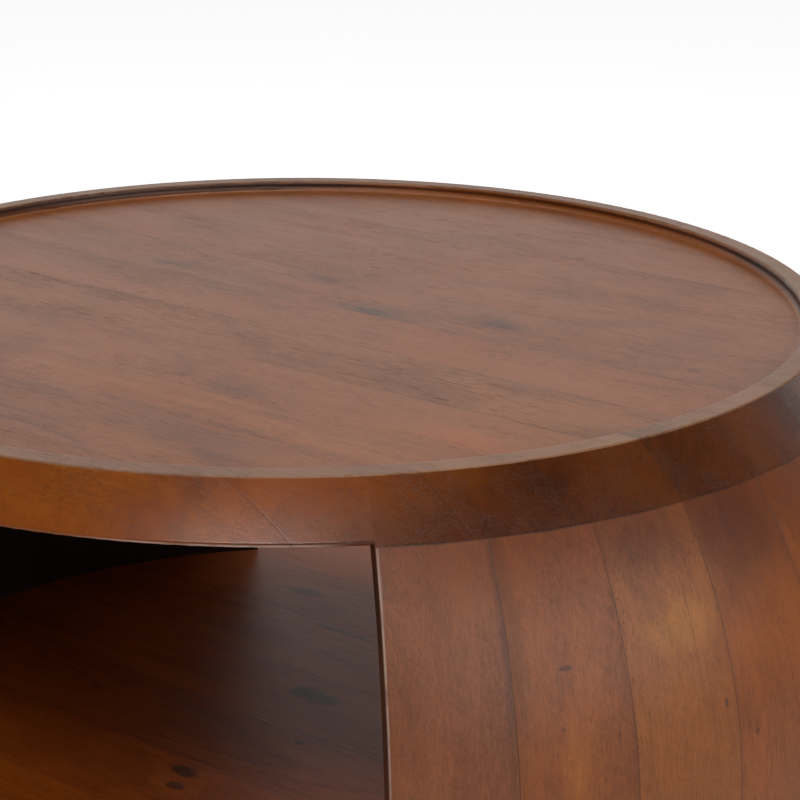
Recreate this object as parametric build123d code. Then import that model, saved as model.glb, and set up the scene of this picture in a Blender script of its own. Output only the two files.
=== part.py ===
from build123d import *
import os
from math import cos, radians, sin, sqrt

# Staved drum table: a barrel-shaped side with a tray top, a plank floor and an opening front and back.
# Origin: centre of the footprint on the floor. +Z up. The openings face -Y and +Y.

# ---- Driving dimensions, millimetres and degrees ----
table_height = 406.0
bulge_diameter = 914.0
rim_diameter = 734.0

glide_height = 4.0
glide_diameter = 32.0
glide_circle_radius = 330.0
glide_count = 6

top_thickness = 30.5
recess_depth = 8.0
rim_width = 15.5
base_thickness = 46.0

stave_thickness = 20.0
stave_angle = 9.0
staves_per_side = 10

# Where the boards of the two slabs meet, as distances from the middle along Y.
top_board_seams = [-308.0, -239.0, -187.0, -121.0, -57.0, 7.0, 73.0, 154.0, 220.0, 294.0]
base_board_seams = [-312.0, -236.0, -150.0, -68.0, 14.0, 96.0, 182.0, 262.0]

rim_outer_rounding = 2.5
rim_inner_rounding = 2.5
recess_cove = 4.0
opening_rounding = 2.0
base_foot_rounding = 4.0

dowel_diameter = 8.0
dowel_length = 28.0
dowel_depth_in_slab = 13.0
dowel_side_play = 0.1
dowel_end_play = 0.5

nail_diameter = 3.0
nail_tip_diameter = 0.6
nail_length = 20.0
nail_head_diameter = 8.0
nail_head_thickness = 1.2
nail_head_sink = 0.6
glide_foot_rounding = 1.0

# ---- Heights and radii worked out from them ----
base_bottom = glide_height
base_top = base_bottom + base_thickness
top_bottom = table_height - top_thickness
tray_floor = table_height - recess_depth

bulge_radius = bulge_diameter / 2
rim_radius = rim_diameter / 2
mid_height = (table_height + base_bottom) / 2
half_body_height = (table_height - base_bottom) / 2
bulge = bulge_radius - rim_radius

# The side's outline is one arc through the rim, the widest point and the foot.
arc_radius = (half_body_height**2 + bulge**2) / (2 * bulge)
arc_centre_radius = bulge_radius - arc_radius

opening_angle = 180.0 - staves_per_side * stave_angle

os.makedirs("parts", exist_ok=True)


def barrel_radius(height, inset=0.0):
    """Radius of the barrel's outline at a height, or of the parallel outline inset from it."""
    return arc_centre_radius + sqrt((arc_radius - inset) ** 2 - (height - mid_height) ** 2)


def barrel_point(height, inset=0.0):
    return (barrel_radius(height, inset), height)


def barrel_arc(low, high, inset=0.0):
    """The barrel's outline between two heights, drawn upwards in the XZ plane."""
    middle = (low + high) / 2
    return ThreePointArc(barrel_point(low, inset), barrel_point(middle, inset), barrel_point(high, inset))


def opening_start_angles():
    """The azimuth where each opening begins: the front one and the back one."""
    return [-90.0 - opening_angle / 2, 90.0 - opening_angle / 2]


def rounded_corner(outline, radius, height, rounding):
    """The outline, drawn in the XZ plane, with the corner at this radius and height rounded."""
    corner = outline.vertices().sort_by_distance((radius, 0, height))[0]
    return fillet(corner, rounding)


def turned_slab(outline, bare_corner_height):
    """A disc turned from its outline, in four sectors.

    The sharp corner at the given height meets the staves. Over both openings it lies bare, and is
    rounded there.
    """
    bare_outline = rounded_corner(outline, barrel_radius(bare_corner_height), bare_corner_height, opening_rounding)
    sectors = []
    for azimuth in opening_start_angles():
        sectors.append(Rot(0, 0, azimuth) * revolve(bare_outline, Axis.Z, opening_angle))
        sectors.append(Rot(0, 0, azimuth + opening_angle) * revolve(outline, Axis.Z, 180.0 - opening_angle))
    return sectors[0] + sectors[1:]


def top_slab():
    """The tray top: a disc with a sunk floor, a flat rim and rounded edges."""
    inner_radius = rim_radius - rim_width
    with BuildSketch(Plane.XZ) as drawing:
        with BuildLine():
            edge = barrel_arc(top_bottom, table_height)
            Polyline(
                edge @ 0,
                (0, top_bottom),
                (0, tray_floor),
                (inner_radius, tray_floor),
                (inner_radius, table_height),
                edge @ 1,
            )
        make_face()
    outline = rounded_corner(drawing.sketch, inner_radius, tray_floor, recess_cove)
    outline = rounded_corner(outline, inner_radius, table_height, rim_inner_rounding)
    outline = rounded_corner(outline, rim_radius, table_height, rim_outer_rounding)
    return turned_slab(outline, top_bottom)


def base_slab():
    """The floor of the compartment, which is also the foot of the barrel."""
    with BuildSketch(Plane.XZ) as drawing:
        with BuildLine():
            edge = barrel_arc(base_bottom, base_top)
            Polyline(edge @ 0, (0, base_bottom), (0, base_top), edge @ 1)
        make_face()
    foot_radius = barrel_radius(base_bottom)
    outline = rounded_corner(drawing.sketch, foot_radius, base_bottom, base_foot_rounding)
    return turned_slab(outline, base_top)


def boards(disc, seams):
    """Cuts a slab into its edge-glued boards, which run along X, from -Y to +Y."""
    limits = [-bulge_radius] + seams + [bulge_radius]
    strips = []
    for low, high in zip(limits, limits[1:]):
        middle = (low + high) / 2
        strip = Pos(0, middle, mid_height) * Box(bulge_diameter, high - low, 2 * table_height)
        strips.append(disc & strip)
    return strips


def stave_blank():
    """One stave, from azimuth 0 to its full angle, before its dowel holes are drilled."""
    with BuildPart() as stave:
        with BuildSketch(Plane.XZ):
            with BuildLine():
                outside = barrel_arc(base_top, top_bottom)
                inside = barrel_arc(base_top, top_bottom, stave_thickness)
                Line(outside @ 0, inside @ 0)
                Line(outside @ 1, inside @ 1)
            make_face()
        revolve(axis=Axis.Z, revolution_arc=stave_angle)
    return stave.part


def round_jamb(stave, azimuth):
    """Rounds the two long edges of an end stave where it faces an opening."""
    on_jamb = (bulge_radius * cos(radians(azimuth)), bulge_radius * sin(radians(azimuth)), mid_height)
    jamb = stave.faces().filter_by(GeomType.PLANE).sort_by_distance(on_jamb)[0]
    long_edges = jamb.edges().sort_by(SortBy.LENGTH)[-2:]
    return fillet(long_edges, opening_rounding)


def dowel_frame(azimuth, end):
    """Where a stave's dowel crosses its end: +1 for the top end, -1 for the bottom end.

    The dowel follows the stave, which leans inwards where it meets the slab.
    """
    height = top_bottom if end > 0 else base_top
    radius = (barrel_radius(height) + barrel_radius(height, stave_thickness)) / 2
    lean = abs(height - mid_height) / arc_radius
    rise = sqrt(1 - lean**2)
    joint = Plane(origin=(radius, 0, height), x_dir=(0, 1, 0), z_dir=(-lean, 0, end * rise))
    return Rot(0, 0, azimuth) * joint.location


def column(radius, low, high):
    """A round bar along Z between two heights."""
    bar = Cylinder(radius, high - low, align=(Align.CENTER, Align.CENTER, Align.MIN))
    return Pos(0, 0, low) * bar


def dowel(side_play=0.0, end_play=0.0):
    """A dowel along Z with the glue line at Z = 0, or with some play the hole for it."""
    low = dowel_depth_in_slab - dowel_length - end_play
    high = dowel_depth_in_slab + end_play
    return column(dowel_diameter / 2 + side_play, low, high)


def stave_middles():
    """The azimuth of each stave's centre line, right side first, then left."""
    first = -(staves_per_side - 1) * stave_angle / 2
    right = [first + index * stave_angle for index in range(staves_per_side)]
    return right, [azimuth + 180.0 for azimuth in right]


def along_the_staves(end, shape):
    """A copy of the shape at the given end of every stave."""
    right, left = stave_middles()
    return [dowel_frame(azimuth, end) * shape for azimuth in right + left]


def glide_places():
    spacing = 360.0 / glide_count
    turns = [spacing * (index + 0.5) for index in range(glide_count)]
    return [Rot(0, 0, turn) * Pos(glide_circle_radius, 0, 0) for turn in turns]


def nail():
    """A flat-headed nail, driven up through a glide into the base."""
    head_top = nail_head_sink + nail_head_thickness
    tip = nail_head_sink + nail_length
    point_low = tip - nail_diameter
    head = column(nail_head_diameter / 2, nail_head_sink, head_top)
    shank = column(nail_diameter / 2, head_top, point_low)
    point = Cone(
        nail_diameter / 2,
        nail_tip_diameter / 2,
        nail_diameter,
        align=(Align.CENTER, Align.CENTER, Align.MIN),
    )
    return head + shank + Pos(0, 0, point_low) * point


def glide_pad():
    """A round pad with a rounded foot and a sunk seat for its nail's head."""
    pad = column(glide_diameter / 2, 0, glide_height)
    foot = pad.edges().filter_by(GeomType.CIRCLE).sort_by(Axis.Z)[0]
    pad = fillet(foot, glide_foot_rounding)
    seat = column(nail_head_diameter / 2, 0, nail_head_sink + nail_head_thickness)
    bore = column(nail_diameter / 2, 0, glide_height)
    return pad - seat - bore


def save(node, shape):
    export_step(shape, f"parts/{node}.step")


def main():
    dowel_hole = dowel(dowel_side_play, dowel_end_play)
    top_holes = along_the_staves(1, dowel_hole)
    base_holes = along_the_staves(-1, dowel_hole)
    nails = [place * nail() for place in glide_places()]

    for number, board in enumerate(boards(top_slab() - top_holes, top_board_seams), start=1):
        save(f"top_board_{number:02d}", board)

    for number, board in enumerate(boards(base_slab() - base_holes - nails, base_board_seams), start=1):
        save(f"base_board_{number:02d}", board)

    for side, middles in zip(("right", "left"), stave_middles()):
        for number, azimuth in enumerate(middles, start=1):
            start = azimuth - stave_angle / 2
            finish = azimuth + stave_angle / 2
            stave = Rot(0, 0, start) * stave_blank()
            if number == 1:
                stave = round_jamb(stave, start)
            if number == staves_per_side:
                stave = round_jamb(stave, finish)
            save(f"stave_{side}_{number:02d}", stave - top_holes - base_holes)

    save("top_dowels", Compound(along_the_staves(1, dowel())))
    save("base_dowels", Compound(along_the_staves(-1, dowel())))
    save("floor_glides", Compound([place * glide_pad() for place in glide_places()]))
    save("glide_nails", Compound(nails))


main()
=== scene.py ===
import math

import bpy
from mathutils import Matrix, Vector

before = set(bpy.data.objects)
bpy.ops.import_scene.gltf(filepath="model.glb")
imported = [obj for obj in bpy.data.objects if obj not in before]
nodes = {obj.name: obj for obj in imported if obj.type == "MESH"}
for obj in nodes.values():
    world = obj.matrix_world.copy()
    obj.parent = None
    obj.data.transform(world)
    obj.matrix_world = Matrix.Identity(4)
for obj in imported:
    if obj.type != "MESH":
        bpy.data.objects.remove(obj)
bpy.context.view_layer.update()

# ---------------------------------------------------------------- node helpers


class Net:
    """Short names for the shader nodes that the materials are made of."""

    def __init__(self, tree):
        tree.nodes.clear()
        self.tree = tree

    def put(self, socket, value):
        """Links an output to a socket, or sets the socket's own value."""
        if isinstance(value, bpy.types.NodeSocket):
            self.tree.links.new(value, socket)
        elif value is not None:
            socket.default_value = value

    def node(self, kind, **settings):
        made = self.tree.nodes.new(kind)
        for name, value in settings.items():
            setattr(made, name, value)
        return made

    def finish(self, kind, shader):
        """Ends a material or a world with its surface shader."""
        out = self.node(kind)
        self.put(out.inputs["Surface"], shader.outputs[0])

    def coordinates(self, name):
        return self.node("ShaderNodeTexCoord").outputs[name]

    def light_path(self, name):
        return self.node("ShaderNodeLightPath").outputs[name]

    def math(self, operation, a, b=None, c=None, clamp=False):
        made = self.node("ShaderNodeMath", operation=operation, use_clamp=clamp)
        for socket, value in zip(made.inputs, (a, b, c)):
            self.put(socket, value)
        return made.outputs[0]

    def product(self, first, *others):
        for other in others:
            first = self.math("MULTIPLY", first, other)
        return first

    def size(self, value):
        return self.math("ABSOLUTE", value)

    def apart(self, a, b):
        """The distance between two values."""
        return self.size(self.math("SUBTRACT", a, b))

    def vector(self, operation, a, b=None):
        made = self.node("ShaderNodeVectorMath", operation=operation)
        self.put(made.inputs[0], a)
        if b is not None:
            self.put(made.inputs[1], b)
        gives_a_number = operation in ("LENGTH", "DOT_PRODUCT")
        return made.outputs["Value" if gives_a_number else "Vector"]

    def split(self, vector):
        made = self.node("ShaderNodeSeparateXYZ")
        self.put(made.inputs[0], vector)
        return made.outputs[0], made.outputs[1], made.outputs[2]

    def join(self, x, y, z):
        made = self.node("ShaderNodeCombineXYZ")
        for socket, value in zip(made.inputs, (x, y, z)):
            self.put(socket, value)
        return made.outputs[0]

    def cells(self, vector, scale, detail=2.0, roughness=0.5, distortion=0.0):
        """A noise texture node."""
        made = self.node("ShaderNodeTexNoise", noise_dimensions="3D")
        self.put(made.inputs["Vector"], vector)
        made.inputs["Scale"].default_value = scale
        made.inputs["Detail"].default_value = detail
        made.inputs["Roughness"].default_value = roughness
        made.inputs["Distortion"].default_value = distortion
        return made

    def noise(self, vector, scale, *character):
        return self.cells(vector, scale, *character).outputs["Fac"]

    def figure(self, place, cells, *character):
        """Noise with so many cells to the metre along each of the place's axes."""
        return self.noise(self.vector("MULTIPLY", place, cells), 1.0, *character)

    def shift(self, vector, scale, detail):
        """A noisy vector round zero."""
        noisy = self.cells(vector, scale, detail).outputs["Color"]
        return self.vector("SUBTRACT", noisy, (0.5, 0.5, 0.5))

    def step(self, value, low, high, out_low=0.0, out_high=1.0):
        """A smooth step from out_low to out_high while the value goes from low to high."""
        made = self.node("ShaderNodeMapRange", interpolation_type="SMOOTHSTEP")
        for socket, given in zip(made.inputs, (value, low, high, out_low, out_high)):
            self.put(socket, given)
        return made.outputs[0]

    def fall(self, value, low, high, start=1.0):
        """A smooth step from start down to 0 while the value goes from low to high."""
        return self.step(value, low, high, start, 0.0)

    def between(self, value, rise, fall):
        """Rises from 0 to 1 over the first range of the value, and back to 0 over the second."""
        return self.product(self.step(value, *rise), self.fall(value, *fall))

    def mix(self, factor, a, b, blend="MIX"):
        made = self.node("ShaderNodeMix", data_type="RGBA", blend_type=blend, clamp_factor=True)
        colour_a, colour_b = 6, 7
        self.put(made.inputs["Factor"], factor)
        self.put(made.inputs[colour_a], a)
        self.put(made.inputs[colour_b], b)
        return made.outputs[2]

    def stain(self, factor, colour, stain):
        """The colour, multiplied by the stain as far as the factor says."""
        return self.mix(factor, colour, rgba(stain), "MULTIPLY")

    def ramp(self, value, stops):
        made = self.node("ShaderNodeValToRGB")
        elements = made.color_ramp.elements
        while len(elements) < len(stops):
            elements.new(0.5)
        for element, (place, grey) in zip(elements, stops):
            element.position = place
            element.color = (grey, grey, grey, 1.0)
        self.put(made.inputs[0], value)
        return made.outputs[0]

    def bump(self, height, strength, distance):
        made = self.node("ShaderNodeBump")
        made.inputs["Strength"].default_value = strength
        made.inputs["Distance"].default_value = distance
        self.put(made.inputs["Height"], height)
        return made.outputs[0]


def direction(azimuth, elevation):
    """Unit vector towards an azimuth (from +X, counter-clockwise) and an elevation, in degrees."""
    a, e = math.radians(azimuth), math.radians(elevation)
    return Vector((math.cos(a) * math.cos(e), math.sin(a) * math.cos(e), math.sin(e)))


def rgba(colour):
    return (*colour, 1.0)


def scaled(values, amount):
    return tuple(value * amount for value in values)


def times(colour, tint):
    return tuple(channel * part for channel, part in zip(colour, tint))


def new_material(name):
    material = bpy.data.materials.new(name)
    material.use_nodes = True
    return material, Net(material.node_tree)


def dress(node, material):
    """Gives a CAD object its material in place of any it came with."""
    node.data.materials.clear()
    node.data.materials.append(material)


# ---------------------------------------------------------------- sizes, metres and degrees

TABLE_HEIGHT = 0.406
TRAY_FLOOR = 0.398
TOP_BOTTOM = 0.3755
BASE_BOTTOM = 0.004
RIM_RADIUS = 0.367
RIM_WIDTH = 0.0155
TRAY_RADIUS = RIM_RADIUS - RIM_WIDTH
STAVE_ANGLE = 9.0
STAVES_PER_SIDE = 10
# Depth in a stave's own frame is counted from this radius. It is scaled down, so that the curve of the
# stave doesn't hurry its figure.
STAVE_RADIUS = 0.40
STAVE_DEPTH_SCALE = 0.35

# Where the boards of the two slabs meet, along Y, and a place past the last board.
TOP_SEAMS = [-0.308, -0.239, -0.187, -0.121, -0.057, 0.007, 0.073, 0.154, 0.220, 0.294]
BASE_SEAMS = [-0.312, -0.236, -0.150, -0.068, 0.014, 0.096, 0.182, 0.262]
EDGE = 0.460

# Each pair of numbers below is where a soft edge begins and where it ends.
RIM_FLAT_HEIGHT = (TABLE_HEIGHT - 0.0012, TABLE_HEIGHT - 0.0003)
TRAY_WALL_RISE = (TRAY_FLOOR + 0.0020, TRAY_FLOOR + 0.0045)
TRAY_WALL_FALL = (TABLE_HEIGHT - 0.0025, TABLE_HEIGHT - 0.0013)
TRAY_WALL_RADIUS = (TRAY_RADIUS + 0.0020, TRAY_RADIUS + 0.0030)
SHOULDER_RADIUS = (RIM_RADIUS - 0.0070, RIM_RADIUS - 0.0015)
STAVE_UPPER_END = (TOP_BOTTOM - 0.0405, TOP_BOTTOM - 0.0035)
# Distances from the joint under the top, and from a glue line.
JOINT_LINE = (0.0003, 0.0010)
SEAM_LINE = (0.0002, 0.0006)
SEAM_SHADE = (0.0, 0.0045)
# The painted highlight on the edge of a jamb: how wide it is, and the heights over which it grows pale.
JAMB_ARRIS = (0.0008, 0.0019)
JAMB_ARRIS_FADE = (0.22, 0.33)
# The painted highlight on the edge of the top over an opening: its height, its radius, and its two ends
# along X.
TOP_ARRIS = (TOP_BOTTOM + 0.0010, TOP_BOTTOM + 0.0024)
TOP_ARRIS_RADIUS = (0.390, 0.393)
TOP_ARRIS_ENDS = ((0.13, 0.19), (0.250, 0.272))

# The relief of a sawn and polished face: strength, and depth in metres.
FACE_RELIEF = (0.32, 0.0004)
FITTING_RELIEF = (0.2, 0.0002)

# ---------------------------------------------------------------- colours of the wood

WHITE = (1.0, 1.0, 1.0)
LIGHT = (0.400, 0.102, 0.0150)
DARK = (0.190, 0.044, 0.0065)
IN_PORES = scaled(DARK, 0.35)
KNOT = (0.022, 0.011, 0.008)
SEAM = (0.022, 0.010, 0.005)
GOLDEN = (1.05, 1.12, 0.85)
# What the end grain, which drinks more stain, keeps of the face colour.
END_GRAIN = (0.36, 0.34, 0.38)
# Painted shade makes the inner faces of the staves nearly black.
INSIDE_SHADE = (0.11, 0.12, 0.14)
# The flat of the rim is made paler and greyer, and painted shade darkens the wall inside it.
RIM_FLAT_TINT = (0.90, 1.36, 3.4)
TRAY_WALL_SHADE = (0.35, 0.30, 0.30)
# Painted shade darkens the outer edge of the top, which also has honey-coloured and smoky clouds.
SHOULDER_SHADE = (0.83, 0.67, 0.46)
SHOULDER_HONEY = (1.22, 1.36, 1.0)
SHOULDER_SMOKE = (0.52, 0.50, 0.50)
# The part of its roughness that the shoulder has lost.
SHOULDER_GLOSS = 0.34
# Painted shade darkens the upper ends of the staves a little too.
STAVE_END_SHADE = (0.78, 0.68, 0.56)
# A painted highlight pales the edges of the openings.
EDGE_HIGHLIGHT = (0.66, 0.44, 0.34)

# ---------------------------------------------------------------- the timber

# Each figure's cells to the metre along the grain, across it and through the board, then the detail, the
# roughness and the distortion of its noise, where they aren't the usual ones.
JITTER = (9.0, 130.0, 130.0), 3.0, 0.6
RING_FADE = (3.0, 26.0, 26.0), 2.0
FIBRE = (22.0, 640.0, 640.0), 4.0, 0.65
STREAK = (2.6, 62.0, 62.0), 4.0, 0.6, 0.4
BAND = (1.7, 17.0, 17.0), 3.0, 0.55, 0.6
BLOTCH = (7.0, 15.0, 15.0), 3.0, 0.6, 0.3
CLOUD = (9.0, 13.0, 13.0), 4.0, 0.62, 0.8
RIPPLE = (120.0, 22.0, 1.0), 2.0, 0.6, 1.2
MOTTLE = (150.0, 300.0, 300.0), 4.0, 0.7
SPECKLE = (420.0, 900.0, 900.0), 2.0, 0.6
PORE = (85.0, 1900.0, 1900.0), 1.0, 0.4
DASH = (210.0, 900.0, 900.0), 1.0, 0.5
PORE_ZONE = (6.0, 55.0, 55.0), 2.0
WARMTH = (4.0, 30.0, 30.0), 2.0
RUBBING = (60.0, 60.0, 60.0), 2.0
GLUE_WEAR = (25.0, 25.0, 25.0), 2.0

# How the heart of the log wanders across and through a board: how often, and how far in metres.
WANDER_CELLS = (1.0, 5.0, 5.0)
WANDER_SCALE = 2.1
WANDER_REACH = 0.075
# How ragged a ring is, in metres.
RING_RAGGEDNESS = 0.0016
# How often the spacing of the rings changes on the way out, to the metre, and by how many rings.
SPACING_CELLS = 70.0
SPACING_SWING = 3.0
# The tilt of the ripple across the board.
RIPPLE_SLANT = 0.7
# Darkness along one year ring, from early wood to late wood.
RING_PROFILE = [(0.0, 0.15), (0.35, 0.0), (0.72, 0.45), (0.93, 1.0), (1.0, 0.15)]
# What keeps two boards from showing the same piece of figure.
SEED_STEP = (3.13, 1.71, 2.37)
# How much of an open pore's own colour is seen, and how rough the bare face is.
PORE_DARKNESS = 0.62
FACE_ROUGHNESS = 0.30

TIMBER_NUMBERS = [
    "Seed", "Ring spacing", "Heart offset", "Heart depth", "Ring amount", "Streak amount", "Band amount",
    "Ripple amount", "Pore amount", "Dash amount", "Cloud amount", "Knot push", "Knot",
]


def timber_sockets(face):
    face.new_socket("Place", in_out="INPUT", socket_type="NodeSocketVector")
    for name in TIMBER_NUMBERS:
        face.new_socket(name, in_out="INPUT", socket_type="NodeSocketFloat")
    face.new_socket("Light", in_out="INPUT", socket_type="NodeSocketColor")
    face.new_socket("Dark", in_out="INPUT", socket_type="NodeSocketColor")
    face.new_socket("Color", in_out="OUTPUT", socket_type="NodeSocketColor")
    face.new_socket("Roughness", in_out="OUTPUT", socket_type="NodeSocketFloat")
    face.new_socket("Height", in_out="OUTPUT", socket_type="NodeSocketFloat")


def year_rings(n, given, place, bent):
    """Rings round a wandering heart below the face. Knots push them aside."""
    _, across, depth = n.split(bent)
    across = n.math("ADD", across, given["Heart offset"])
    depth = n.math("ADD", depth, given["Heart depth"])
    heart = n.math("SQRT", n.math("ADD", n.product(across, across), n.product(depth, depth)))
    heart = n.math("ADD", heart, given["Knot push"])
    heart = n.math("MULTIPLY_ADD", n.figure(place, *JITTER), RING_RAGGEDNESS, heart)
    uneven = n.noise(n.join(n.product(heart, SPACING_CELLS), given["Seed"], 0.0), 1.0, 2.0)
    rings = n.math("DIVIDE", heart, given["Ring spacing"])
    rings = n.math("ADD", rings, n.product(uneven, SPACING_SWING))
    ring = n.ramp(n.math("FRACT", rings), RING_PROFILE)
    fade = n.step(n.figure(place, *RING_FADE), 0.3, 0.7, 0.25, 1.0)
    return n.product(ring, fade, given["Ring amount"])


def timber_group():
    """Figured hardwood in a board's own frame: x along the grain, y across it, z through the board."""
    tree = bpy.data.node_groups.new("timber", "ShaderNodeTree")
    timber_sockets(tree.interface)
    n = Net(tree)
    given = n.node("NodeGroupInput").outputs
    offset = n.vector("MULTIPLY", n.join(given["Seed"], given["Seed"], given["Seed"]), SEED_STEP)
    place = n.vector("ADD", given["Place"], offset)
    wander = n.shift(n.vector("MULTIPLY", place, WANDER_CELLS), WANDER_SCALE, 1.0)
    wander = n.vector("MULTIPLY", wander, (0.0, WANDER_REACH, WANDER_REACH))
    bent = n.vector("ADD", given["Place"], wander)
    ring = year_rings(n, given, place, bent)

    fibre = n.figure(place, *FIBRE)
    streak = n.figure(bent, *STREAK)
    band = n.figure(place, *BAND)
    blotch = n.figure(place, *BLOTCH)
    cloud = n.figure(place, *CLOUD)
    mottle = n.figure(place, *MOTTLE)
    speckle = n.figure(place, *SPECKLE)
    along, aside, _ = n.split(place)
    slant = n.join(n.math("MULTIPLY_ADD", aside, RIPPLE_SLANT, along), aside, 0.0)
    ripple = n.figure(slant, *RIPPLE)

    zone = n.step(n.figure(place, *PORE_ZONE), 0.42, 0.62, 0.25, 1.0)
    pore = n.step(n.figure(place, *PORE), 0.58, 0.70)
    pore = n.product(pore, n.product(zone, given["Pore amount"]))
    dash = n.step(n.figure(place, *DASH), 0.60, 0.74)
    dash = n.product(dash, n.product(zone, given["Dash amount"]))

    tone = n.math("MULTIPLY_ADD", n.step(streak, 0.25, 0.75), given["Streak amount"], ring)
    tone = n.math("MULTIPLY_ADD", n.step(band, 0.30, 0.72, -0.10, 0.18), given["Band amount"], tone)
    for figure, contrast in ((fibre, 1.10), (mottle, 0.80), (speckle, 0.90)):
        tone = n.math("ADD", tone, n.math("MULTIPLY_ADD", figure, contrast, -contrast / 2))
    tone = n.math("MULTIPLY_ADD", n.step(cloud, 0.34, 0.66, -0.5, 0.5), given["Cloud amount"], tone)
    tone = n.math("ADD", tone, n.product(n.math("SUBTRACT", ripple, 0.5), given["Ripple amount"]))
    tone = n.math("ADD", tone, n.step(blotch, 0.3, 0.7, -0.13, 0.13), clamp=True)

    colour = n.mix(tone, given["Light"], given["Dark"])
    warm = n.step(n.figure(place, *WARMTH), 0.5, 0.72, 0.0, 0.55)
    colour = n.stain(n.product(warm, given["Band amount"]), colour, GOLDEN)
    open_pores = n.product(n.math("MAXIMUM", pore, dash), PORE_DARKNESS)
    colour = n.mix(open_pores, colour, rgba(IN_PORES))
    knot = n.product(given["Knot"], n.step(mottle, 0.2, 0.7, 1.0, 0.72))
    colour = n.mix(knot, colour, rgba(KNOT))

    rough = n.math("MULTIPLY_ADD", fibre, 0.12, FACE_ROUGHNESS)
    rough = n.math("MULTIPLY_ADD", blotch, 0.10, rough)
    rough = n.math("MULTIPLY_ADD", pore, 0.20, rough, clamp=True)
    height = n.product(fibre, 0.30)
    for figure, rise in ((pore, -0.8), (ring, -0.25), (mottle, 0.35), (given["Knot"], 0.5)):
        height = n.math("MULTIPLY_ADD", figure, rise, height)

    out = n.node("NodeGroupOutput")
    n.put(out.inputs["Color"], colour)
    n.put(out.inputs["Roughness"], rough)
    n.put(out.inputs["Height"], height)
    return tree


TIMBER = timber_group()

# ---------------------------------------------------------------- marks in one board

# How far the edge of a mark strays, in parts of the mark's size, and how often, to the metre.
MARK_STRAY = 1.1
MARK_CELLS = 60.0
# How soft the edge is, in parts of the size.
KNOT_SOFTNESS = 0.35
STAIN_SOFTNESS = 0.8
# The hump of pushed rings round a knot: its size to the knot's, how fast it falls, and its height to the
# knot's half width.
HALO_SIZE = 1.7
HALO_FALL = 0.35
HALO_HEIGHT = 0.9


def from_mark(n, place, at, size):
    """Distance from the middle of a mark, in units of its own half length and half width."""
    away = n.vector("SUBTRACT", place, (*at, 0.0))
    return n.vector("LENGTH", n.vector("MULTIPLY", away, (1 / size[0], 1 / size[1], 0.0)))


def spot(n, place, at, size, softness):
    """1 inside a ragged ellipse in a board's frame, 0 outside."""
    stray = (size[0] * MARK_STRAY, size[1] * MARK_STRAY, 0.0)
    ragged = n.vector("MULTIPLY", n.shift(place, MARK_CELLS, 3.0), stray)
    away = from_mark(n, n.vector("ADD", place, ragged), at, size)
    return n.fall(away, 1.0 - softness, 1.0 + softness)


def halo(n, place, at, size):
    """A soft hump round a knot, which pushes the year rings aside."""
    away = from_mark(n, place, at, scaled(size, HALO_SIZE))
    return n.math("EXPONENT", n.product(n.product(away, away), -HALO_FALL))


def knot_marks(n, place, knots):
    """How far the knots push the rings aside, and where they are."""
    push, knot = 0.0, 0.0
    for at, size, depth in knots:
        push = n.math("MULTIPLY_ADD", halo(n, place, at, size), size[1] * HALO_HEIGHT, push)
        knot = n.math("MAXIMUM", n.product(spot(n, place, at, size, KNOT_SOFTNESS), depth), knot)
    return push, knot


# ---------------------------------------------------------------- finishes and painted light

# A finish takes what placing(n) gave for the board, the look, the colour, the roughness and the dark line
# at the joint under the top. It returns the last three, changed where its kind of board needs it. The
# finishes of the top and the staves also paint shade and highlights into the colour.

# Where a face counts as end grain, by how much it looks along X, and where the face of a stave counts as
# its inner or its outer one, by how much it looks outwards.
END_GRAIN_FACING = (0.40, 0.60)
INNER_FACING = (-0.6, -0.3)
OUTER_FACING = (0.30, 0.50)
# The clouds on the shoulder: cells to the metre, and the detail, roughness and distortion of the noise.
HONEY_CLOUDS = 13.0, 4.0, 0.65
SMOKE_CLOUDS = 7.0, 4.0, 0.65, 0.6

def highlight_patches(n, place):
    """Uneven strength of a painted edge highlight."""
    return n.step(n.figure(place, *RUBBING), 0.25, 0.55, 0.35, 0.85)


def end_grain_finish(n, board, look, colour, rough, joint):
    """The boards of the slabs end where their outline faces along X."""
    facing, _, _ = n.split(n.coordinates("Normal"))
    return n.stain(n.step(n.size(facing), *END_GRAIN_FACING), colour, END_GRAIN), rough, joint


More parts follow.
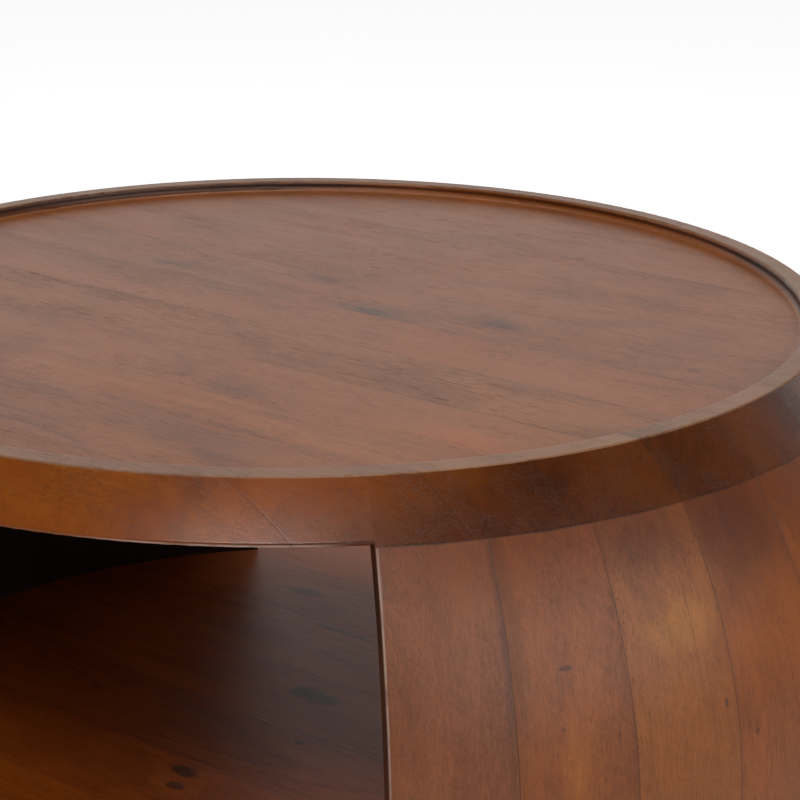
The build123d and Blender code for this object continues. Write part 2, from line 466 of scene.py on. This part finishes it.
def top_finish_and_painted_light(n, board, look, colour, rough, joint):
    """Rim, tray wall and shoulder of the top, with painted shade on the tray wall and the shoulder, and a
    painted highlight on its edge over the openings.
    """
    place, _, level = board
    colour, rough, joint = end_grain_finish(n, board, look, colour, rough, joint)
    flat = n.step(level, *RIM_FLAT_HEIGHT)
    # The flat of the rim is made paler and greyer.
    colour = n.stain(flat, colour, RIM_FLAT_TINT)
    around = n.coordinates("Object")
    x, y, _ = n.split(around)
    radius = n.vector("LENGTH", n.join(x, y, 0.0))
    wall = n.product(n.between(level, TRAY_WALL_RISE, TRAY_WALL_FALL), n.fall(radius, *TRAY_WALL_RADIUS))
    # Painted shade darkens the tray wall under the rim.
    colour = n.stain(wall, colour, TRAY_WALL_SHADE)

    shoulder = n.product(n.step(radius, *SHOULDER_RADIUS), n.math("SUBTRACT", 1.0, flat))
    # Painted shade darkens the shoulder.
    colour = n.stain(shoulder, colour, SHOULDER_SHADE)
    rough = n.product(rough, n.math("MULTIPLY_ADD", shoulder, -SHOULDER_GLOSS, 1.0))
    honey = n.step(n.noise(around, *HONEY_CLOUDS), 0.45, 0.66, 0.0, 0.8)
    colour = n.stain(n.product(shoulder, honey), colour, SHOULDER_HONEY)
    smoke = n.step(n.noise(around, *SMOKE_CLOUDS), 0.50, 0.72, 0.0, 0.85)
    colour = n.stain(n.product(shoulder, smoke), colour, SHOULDER_SMOKE)

    over_opening = n.math("SUBTRACT", n.size(y), n.size(x))
    arris = n.product(n.fall(level, *TOP_ARRIS), n.step(over_opening, 0.0, 0.01))
    arris = n.product(arris, n.between(n.size(x), *TOP_ARRIS_ENDS), n.step(radius, *TOP_ARRIS_RADIUS))
    # Painted highlight along the edge of the top over the openings.
    colour = n.mix(n.product(arris, highlight_patches(n, place)), colour, rgba(EDGE_HIGHLIGHT))
    return colour, rough, n.product(joint, n.fall(over_opening, -0.004, 0.0))


def stave_painted_light(n, board, look, colour, rough, joint):
    """Painted shade, nearly black inside and deeper at the upper end, and a painted highlight along the
    edge of an opening.
    """
    place, glue_line, level = board
    outwards = n.vector("DOT_PRODUCT", n.coordinates("Normal"), direction(look["faces"], 0.0))
    # Painted shade makes the inner faces nearly black.
    colour = n.stain(n.fall(outwards, *INNER_FACING), colour, INSIDE_SHADE)
    # Painted shade darkens the upper end.
    colour = n.stain(n.step(level, *STAVE_UPPER_END), colour, STAVE_END_SHADE)
    if look["jamb"]:
        on_this_side = n.step(n.product(n.split(place)[1], look["jamb"]), 0.0, 0.01)
        arris = n.product(n.fall(glue_line, *JAMB_ARRIS), n.step(outwards, *OUTER_FACING))
        arris = n.product(arris, on_this_side, n.step(level, *JAMB_ARRIS_FADE, 0.4, 1.0))
        # Painted highlight along the edge of the jamb.
        colour = n.mix(n.product(arris, highlight_patches(n, place)), colour, rgba(EDGE_HIGHLIGHT))
    return colour, rough, joint


# What a look has where it says nothing else.
PLAIN_LOOK = dict(
    tint=WHITE, knots=[], stains=[], spacing=0.0075, heart=0.0, depth=0.05, rings=0.30, streaks=0.22,
    bands=1.0, ripple=0.18, pores=0.8, dashes=0.35, clouds=0.30, seam=0.55, seam_shade=0.10, specular=0.5,
)


def board_material(name, placing, finish, look):
    """Polished timber with dark glue lines.

    placing(n) gives the place in the board's own frame, the distance to its nearest glue line and the
    height above the ground.
    """
    look = dict(PLAIN_LOOK, **look)
    material, n = new_material(name)
    board = placing(n)
    place, glue_line, level = board

    push, knot = knot_marks(n, place, look["knots"])
    group = n.node("ShaderNodeGroup", node_tree=TIMBER)
    values = {
        "Place": place,
        "Seed": look["seed"],
        "Ring spacing": look["spacing"],
        "Heart offset": look["heart"],
        "Heart depth": look["depth"],
        "Ring amount": look["rings"],
        "Streak amount": look["streaks"],
        "Band amount": look["bands"],
        "Ripple amount": look["ripple"],
        "Pore amount": look["pores"],
        "Dash amount": look["dashes"],
        "Cloud amount": look["clouds"],
        "Knot push": push,
        "Knot": knot,
        "Light": rgba(times(LIGHT, look["tint"])),
        "Dark": rgba(times(DARK, look["tint"])),
    }
    for socket, value in values.items():
        n.put(group.inputs[socket], value)
    colour, rough, height = (group.outputs[key] for key in ("Color", "Roughness", "Height"))
    for at, size, tint, amount in look["stains"]:
        colour = n.stain(n.product(spot(n, place, at, size, STAIN_SOFTNESS), amount), colour, tint)

    joint = n.fall(n.apart(level, TOP_BOTTOM), *JOINT_LINE, start=0.7)
    colour, rough, joint = finish(n, board, look, colour, rough, joint)

    worn = n.figure(place, *GLUE_WEAR)
    line = n.product(n.fall(glue_line, *SEAM_LINE, start=look["seam"]), n.step(worn, 0.25, 0.6, 0.55, 1.0))
    shade = n.fall(glue_line, *SEAM_SHADE, start=look["seam_shade"])
    joint = n.product(joint, n.step(worn, 0.35, 0.6, 0.3, 1.0))
    colour = n.mix(n.math("MAXIMUM", n.math("MAXIMUM", line, shade), joint), colour, rgba(SEAM))
    height = n.math("MULTIPLY_ADD", line, -1.2, height)

    shader = n.node("ShaderNodeBsdfPrincipled")
    n.put(shader.inputs["Base Color"], colour)
    n.put(shader.inputs["Roughness"], rough)
    n.put(shader.inputs["Normal"], n.bump(height, *FACE_RELIEF))
    shader.inputs["IOR"].default_value = 1.5
    shader.inputs["Specular IOR Level"].default_value = look["specular"]
    n.finish("ShaderNodeOutputMaterial", shader)
    return material


def plank_placing(low, high, bottom):
    """Boards of the two slabs: the grain runs along X, between two glue lines in Y."""

    def placing(n):
        x, y, z = n.split(n.coordinates("Object"))
        place = n.join(x, n.math("SUBTRACT", y, (low + high) / 2), n.math("SUBTRACT", z, bottom))
        return place, n.math("MINIMUM", n.apart(y, low), n.apart(y, high)), z

    return placing


def stave_placing(azimuth):
    """A stave: the grain runs up it, and the glue lines are planes through the axis."""

    def placing(n):
        turned = n.node("ShaderNodeVectorRotate", rotation_type="Z_AXIS")
        n.put(turned.inputs["Vector"], n.coordinates("Object"))
        turned.inputs["Angle"].default_value = -math.radians(azimuth)
        radial, tangent, z = n.split(turned.outputs[0])
        depth = n.product(n.math("SUBTRACT", radial, STAVE_RADIUS), STAVE_DEPTH_SCALE)
        turn = n.math("ARCTAN2", tangent, radial)
        aside = n.math("SUBTRACT", math.radians(STAVE_ANGLE / 2), n.size(turn))
        return n.join(z, tangent, depth), n.size(n.product(aside, radial)), z

    return placing


# ---------------------------------------------------------------- looks of the boards and staves

# Knots are (where, half size, depth of colour). Stains are (where, half size, tint, amount). In the slabs
# the place is along X and across the board; in a stave it is the height and the place across it.

# What the boards of the top share: short pores, a curly figure and tight joints.
TOP_FIGURE = dict(
    streaks=0.12, bands=0.45, ripple=0.34, dashes=0.8, clouds=0.42, seam=0.34, seam_shade=0.04
)

# One look for each board of the top, from the front (-Y) to the back (+Y).
TOP_LOOKS = [
    dict(seed=1.3, tint=(0.95, 0.95, 0.9), depth=0.03, heart=0.02),
    dict(
        seed=2.9, tint=(0.88, 0.86, 0.86), rings=0.5,
        stains=[((0.13, 0.02), (0.05, 0.02), (0.6, 0.55, 0.5), 0.7)],
    ),
    dict(
        seed=4.1, tint=(1.06, 1.03, 0.92), depth=0.02, streaks=0.34,
        stains=[
            ((0.12, 0.003), (0.16, 0.014), (1.16, 1.16, 1.0), 0.6),
            ((0.10, -0.018), (0.20, 0.004), (0.7, 0.65, 0.6), 0.5),
        ],
    ),
    dict(
        seed=5.7, tint=(1.02, 1.0, 0.95), depth=0.06, ripple=0.42,
        stains=[
            ((0.092, -0.022), (0.02, 0.008), (0.5, 0.48, 0.46), 0.6),
            ((0.26, -0.01), (0.03, 0.012), (1.4, 1.2, 0.9), 0.6),
        ],
    ),
    dict(seed=7.2, tint=(1.04, 1.14, 0.95), depth=0.015, streaks=0.30, pores=1.3, spacing=0.0055),
    dict(
        seed=8.8, tint=(1.06, 0.97, 0.98),
        stains=[((-0.17, 0.025), (0.16, 0.022), (0.78, 0.78, 0.80), 0.7)],
    ),
    dict(
        seed=10.4, tint=(0.90, 0.90, 0.94), depth=0.045, rings=0.5,
        knots=[
            ((-0.147, -0.014), (0.012, 0.0045), 0.35),
            ((-0.022, 0.020), (0.013, 0.005), 0.35),
            ((0.055, -0.028), (0.0145, 0.0085), 0.5),
            ((0.143, 0.0), (0.013, 0.006), 0.45),
            ((0.297, -0.007), (0.006, 0.004), 0.4),
            ((0.253, 0.008), (0.004, 0.003), 0.3),
        ],
        stains=[
            ((-0.147, -0.014), (0.030, 0.010), (0.6, 0.58, 0.6), 0.6),
            ((-0.022, 0.018), (0.030, 0.010), (0.6, 0.58, 0.6), 0.6),
            ((0.055, -0.028), (0.034, 0.015), (0.5, 0.48, 0.5), 0.7),
            ((0.143, 0.0), (0.030, 0.012), (0.5, 0.48, 0.5), 0.7),
        ],
    ),
    dict(seed=12.6, tint=(1.0, 0.98, 0.98), depth=0.04),
    dict(seed=14.3, tint=(1.05, 1.02, 1.0), depth=0.06),
    dict(seed=15.9, tint=(0.98, 0.98, 0.98), depth=0.03),
    dict(seed=17.5, tint=(0.96, 0.97, 0.98)),
]

# One look for each board of the base, from the front to the back.
BASE_LOOKS = [
    dict(seed=21.3, tint=(0.95, 0.92, 0.9)),
    dict(seed=22.9, tint=(1.05, 1.0, 0.95)),
    dict(seed=24.4, tint=(1.0, 0.98, 0.95)),
    dict(
        seed=26.1, tint=(1.02, 0.98, 0.95), rings=0.55,
        knots=[((-0.041, 0.024), (0.012, 0.007), 0.9), ((-0.034, 0.004), (0.008, 0.005), 0.8)],
    ),
    dict(
        seed=27.7, tint=(0.97, 0.97, 0.97), rings=0.6, depth=0.02,
        knots=[((-0.002, 0.028), (0.004, 0.003), 0.8)],
    ),
    dict(seed=29.2, tint=(0.95, 0.95, 0.96), knots=[((-0.041, 0.014), (0.022, 0.010), 0.95)]),
    dict(seed=30.8, knots=[((-0.096, 0.037), (0.028, 0.004), 0.6)]),
    dict(seed=32.5, tint=(0.96, 0.96, 0.98), knots=[((-0.175, 0.001), (0.016, 0.008), 0.6)]),
    dict(seed=34.0, tint=(1.0, 0.98, 0.97)),
]

# What the staves share.
STAVE_FIGURE = dict(
    spacing=0.009, rings=0.24, streaks=0.26, ripple=0.42, specular=0.44, seam=0.60, seam_shade=0.10
)

# Tints of the staves round each side, so that neighbours differ as sawn boards do. The strong blue of
# the first tint is painted sheen.
STAVE_TINTS = [
    (1.08, 1.17, 2.05), (1.14, 1.10, 1.10), (1.22, 1.26, 1.12), (1.24, 1.18, 1.02), (1.34, 1.27, 0.98),
    (0.90, 0.93, 0.95), (1.08, 1.06, 1.00), (0.96, 0.98, 1.05), (1.06, 1.02, 0.92), (1.00, 0.98, 0.95),
]

# Knots and coloured patches on the right staves beside the front opening. The dark patches across the
# upper ends of staves 3 to 5 are painted shade.
RIGHT_STAVE_MARKS = {
    1: dict(
        stains=[
            ((0.30, -0.010), (0.05, 0.016), (1.12, 1.14, 1.2), 0.7),
            ((0.33, 0.0325), (0.09, 0.0026), (0.5, 0.5, 0.55), 0.5),
        ],
    ),
    2: dict(
        knots=[((0.312, -0.0024), (0.0013, 0.0040), 0.72), ((0.2817, -0.0085), (0.0008, 0.0012), 0.55)],
        stains=[
            ((0.345, -0.029), (0.05, 0.005), (0.45, 0.45, 0.5), 0.5),
            ((0.262, -0.003), (0.022, 0.006), (1.5, 1.7, 1.4), 0.7),
            ((0.30, 0.012), (0.03, 0.012), (1.2, 1.2, 1.1), 0.5),
        ],
    ),
    3: dict(
        knots=[((0.2745, 0.0276), (0.0026, 0.0014), 0.65)],
        ripple=0.55,
        stains=[
            ((0.320, 0.006), (0.010, 0.020), (1.35, 1.6, 1.3), 0.8),
            ((0.364, 0.0), (0.014, 0.04), (0.66, 0.60, 0.6), 0.85),
            ((0.30, 0.0), (0.035, 0.028), (1.12, 1.18, 1.1), 0.6),
            ((0.322, 0.012), (0.020, 0.0005), (0.35, 0.30, 0.30), 0.4),
            ((0.272, 0.017), (0.022, 0.0005), (0.4, 0.35, 0.35), 0.3),
        ],
    ),
    4: dict(
        knots=[((0.2529, -0.0219), (0.0018, 0.0016), 0.6)],
        stains=[((0.358, 0.0), (0.032, 0.04), (0.42, 0.36, 0.36), 0.9)],
    ),
    5: dict(stains=[((0.360, 0.0), (0.028, 0.04), (0.6, 0.55, 0.5), 0.8)]),
}

# This power brings the tints of the top's boards nearer to each other than their looks say.
TOP_TINT_POWER = 0.3
# What all boards of the top, all boards of the base and all staves are tinted by.
TOP_BRIGHTNESS = (0.83, 0.93, 1.05)
BASE_BRIGHTNESS = (1.28, 1.10, 0.6)
STAVE_BRIGHTNESS = (0.58, 0.635, 0.82)
# The base is less polished than the rest.
BASE_SPECULAR = 0.30


def limits_of(seams):
    """The two edges of each board."""
    return zip([-EDGE] + seams, seams + [EDGE])


for number, (limits, look) in enumerate(zip(limits_of(TOP_SEAMS), TOP_LOOKS), start=1):
    evened = [channel**TOP_TINT_POWER for channel in look["tint"]]
    look = {**TOP_FIGURE, **look, "tint": times(TOP_BRIGHTNESS, evened)}
    placing = plank_placing(*limits, TOP_BOTTOM)
    material = board_material(f"top_timber_{number:02d}", placing, top_finish_and_painted_light, look)
    dress(nodes[f"top_board_{number:02d}"], material)

for number, (limits, look) in enumerate(zip(limits_of(BASE_SEAMS), BASE_LOOKS), start=1):
    look = dict(look, specular=BASE_SPECULAR, tint=times(BASE_BRIGHTNESS, look.get("tint", WHITE)))
    placing = plank_placing(*limits, BASE_BOTTOM)
    material = board_material(f"base_timber_{number:02d}", placing, end_grain_finish, look)
    dress(nodes[f"base_board_{number:02d}"], material)

# Each side: where its middle is, the seed of its first stave, and where in the list its tints begin.
SIDES = {"right": (0.0, 41.0, 0), "left": (180.0, 60.0, 5)}
# The staves whose edge faces an opening, and the side that edge is on.
JAMBS = {0: -1.0, STAVES_PER_SIDE - 1: 1.0}

for side, (middle, first_seed, first_tint) in SIDES.items():
    for index in range(STAVES_PER_SIDE):
        azimuth = middle + STAVE_ANGLE * (index + 0.5 - STAVES_PER_SIDE / 2)
        tint = STAVE_TINTS[(index + first_tint) % len(STAVE_TINTS)]
        look = dict(
            STAVE_FIGURE,
            faces=azimuth,
            jamb=JAMBS.get(index),
            seed=first_seed + 1.37 * index,
            depth=0.03 + 0.012 * (index % 4),
            heart=0.02 * math.sin(index * 2.1),
            tint=times(STAVE_BRIGHTNESS, tint),
        )
        if side == "right":
            look.update(RIGHT_STAVE_MARKS.get(index + 1, {}))
        name = f"{side}_{index + 1:02d}"
        material = board_material(f"stave_timber_{name}", stave_placing(azimuth), stave_painted_light, look)
        dress(nodes[f"stave_{name}"], material)

# ---------------------------------------------------------------- the small fittings


def fitting_material(name, colour, roughness, metallic=0.0, cells=(60.0, 60.0, 60.0)):
    """A mottled, slightly uneven surface."""
    material, n = new_material(name)
    speck = n.noise(n.vector("MULTIPLY", n.coordinates("Object"), cells), 12.0, 3.0, 0.6)
    shader = n.node("ShaderNodeBsdfPrincipled")
    n.put(shader.inputs["Base Color"], n.mix(speck, rgba(scaled(colour, 0.75)), rgba(scaled(colour, 1.2))))
    n.put(shader.inputs["Roughness"], n.step(speck, 0.2, 0.8, roughness - 0.08, roughness + 0.08))
    shader.inputs["Metallic"].default_value = metallic
    n.put(shader.inputs["Normal"], n.bump(speck, *FITTING_RELIEF))
    n.finish("ShaderNodeOutputMaterial", shader)
    return material


BEECH = dict(colour=(0.55, 0.38, 0.22), roughness=0.55, cells=(60.0, 60.0, 6.0))
dress(nodes["top_dowels"], fitting_material("dowel_beech", **BEECH))
dress(nodes["base_dowels"], fitting_material("dowel_beech_base", **BEECH))
dress(nodes["floor_glides"], fitting_material("glide_nylon", (0.030, 0.026, 0.024), 0.55))
dress(nodes["glide_nails"], fitting_material("nail_steel", (0.55, 0.54, 0.52), 0.35, metallic=1.0))

for node in nodes.values():
    for polygon in node.data.polygons:
        polygon.use_smooth = True

# ---------------------------------------------------------------- the studio

VIEW_AZIMUTH = 39.25
FLOOR_REACH = 40.0
FLOOR_GREY = (0.80, 0.80, 0.80)
FLOOR_GLOW = 0.84

LAMP_TARGET = Vector((0.0, 0.0, 0.25))
LAMP_DISTANCE = 2.6
# Azimuth and elevation in degrees, width and height in metres, power in watts.
LAMPS = {
    "side_box": (-5.0, 20.0, 2.2, 1.4, 23.0),
    "low_box": (-59.0, 41.0, 1.0, 0.45, 17.0),
    "front_box": (-61.0, 51.5, 0.9, 0.50, 4.0),
    "back_box": (130.0, 75.0, 1.2, 1.2, 16.0),
}

# The white behind the table: how bright, how far it spreads and how high it reaches.
BACKDROP_STRENGTH = 1.12
BACKDROP_SPREAD = (0.1, 0.8)
BACKDROP_HEIGHT = (0.28, 0.54)
BACKDROP_ABOVE = 0.08
ROOM_STRENGTH = 0.025

# The camera: yaw from the view's azimuth, pitch and roll in radians, then its place and its lens.
CAMERA_YAW = -0.0520048
CAMERA_PITCH = 0.3256430
CAMERA_ROLL = 0.0068715
CAMERA_REACH = 1.40170
CAMERA_HEIGHT = 0.79847
CAMERA_LENS = 92.918
CAMERA_SENSOR = 36.0


def into_scene(name, data):
    made = bpy.data.objects.new(name, data)
    bpy.context.scene.collection.objects.link(made)
    return made


def pale_floor():
    """White to the camera, and it keeps the table's shadow."""
    mesh = bpy.data.meshes.new("studio_floor")
    corners = [(x * FLOOR_REACH, y * FLOOR_REACH, 0) for x, y in ((-1, -1), (1, -1), (1, 1), (-1, 1))]
    mesh.from_pydata(corners, [], [(0, 1, 2, 3)])
    material, n = new_material("floor_paper")
    diffuse = n.node("ShaderNodeBsdfDiffuse")
    diffuse.inputs["Color"].default_value = rgba(FLOOR_GREY)
    glow = n.node("ShaderNodeEmission")
    glow.inputs["Color"].default_value = rgba(WHITE)
    n.put(glow.inputs["Strength"], n.product(n.light_path("Is Camera Ray"), FLOOR_GLOW))
    total = n.node("ShaderNodeAddShader")
    n.put(total.inputs[0], diffuse.outputs[0])
    n.put(total.inputs[1], glow.outputs[0])
    n.finish("ShaderNodeOutputMaterial", total)
    mesh.materials.append(material)
    floor = into_scene("studio_floor", mesh)


def softbox(name, azimuth, elevation, width, height, power):
    light = bpy.data.lights.new(name, "AREA")
    light.shape = "RECTANGLE"
    light.size, light.size_y = width, height
    light.energy = power
    lamp = into_scene(name, light)
    away = direction(azimuth, elevation)
    lamp.location = LAMP_TARGET + away * LAMP_DISTANCE
    lamp.rotation_mode = "QUATERNION"
    lamp.rotation_quaternion = away.to_track_quat("Z", "Y")
    lamp.visible_camera = False


def surroundings():
    """White behind the table, dim in front of it and above."""
    world = bpy.data.worlds.new("studio")
    bpy.context.scene.world = world
    world.use_nodes = True
    n = Net(world.node_tree)
    towards = n.coordinates("Generated")
    behind = n.step(n.vector("DOT_PRODUCT", towards, direction(90.0 + VIEW_AZIMUTH, 0.0)), *BACKDROP_SPREAD)
    _, _, up = n.split(towards)
    low = n.step(up, *BACKDROP_HEIGHT, 1.0, BACKDROP_ABOVE)
    strength = n.math("MULTIPLY_ADD", n.product(behind, low), BACKDROP_STRENGTH, ROOM_STRENGTH)
    shader = n.node("ShaderNodeBackground")
    shader.inputs["Color"].default_value = rgba(WHITE)
    n.put(shader.inputs["Strength"], n.math("MAXIMUM", n.light_path("Is Camera Ray"), strength))
    n.finish("ShaderNodeOutputWorld", shader)


def studio_camera():
    turn = math.radians(VIEW_AZIMUTH)
    yaw = turn + CAMERA_YAW
    ahead, down = math.cos(CAMERA_PITCH), math.sin(CAMERA_PITCH)
    forward = Vector((-math.sin(yaw) * ahead, math.cos(yaw) * ahead, -down))
    level = Vector((math.cos(yaw), math.sin(yaw), 0.0))
    upright = level.cross(forward)
    right = math.cos(CAMERA_ROLL) * level + math.sin(CAMERA_ROLL) * upright
    up = -math.sin(CAMERA_ROLL) * level + math.cos(CAMERA_ROLL) * upright
    camera = into_scene("camera", bpy.data.cameras.new("camera"))
    camera.data.lens = CAMERA_LENS
    camera.data.sensor_width = CAMERA_SENSOR
    place = (math.sin(turn) * CAMERA_REACH, -math.cos(turn) * CAMERA_REACH, CAMERA_HEIGHT)
    facing = Matrix((right, up, -forward)).transposed().to_4x4()
    camera.matrix_world = Matrix.Translation(place) @ facing
    bpy.context.scene.camera = camera


pale_floor()
surroundings()
for name, lamp in LAMPS.items():
    softbox(name, *lamp)
studio_camera()
bpy.context.scene.view_settings.view_transform = "Standard"
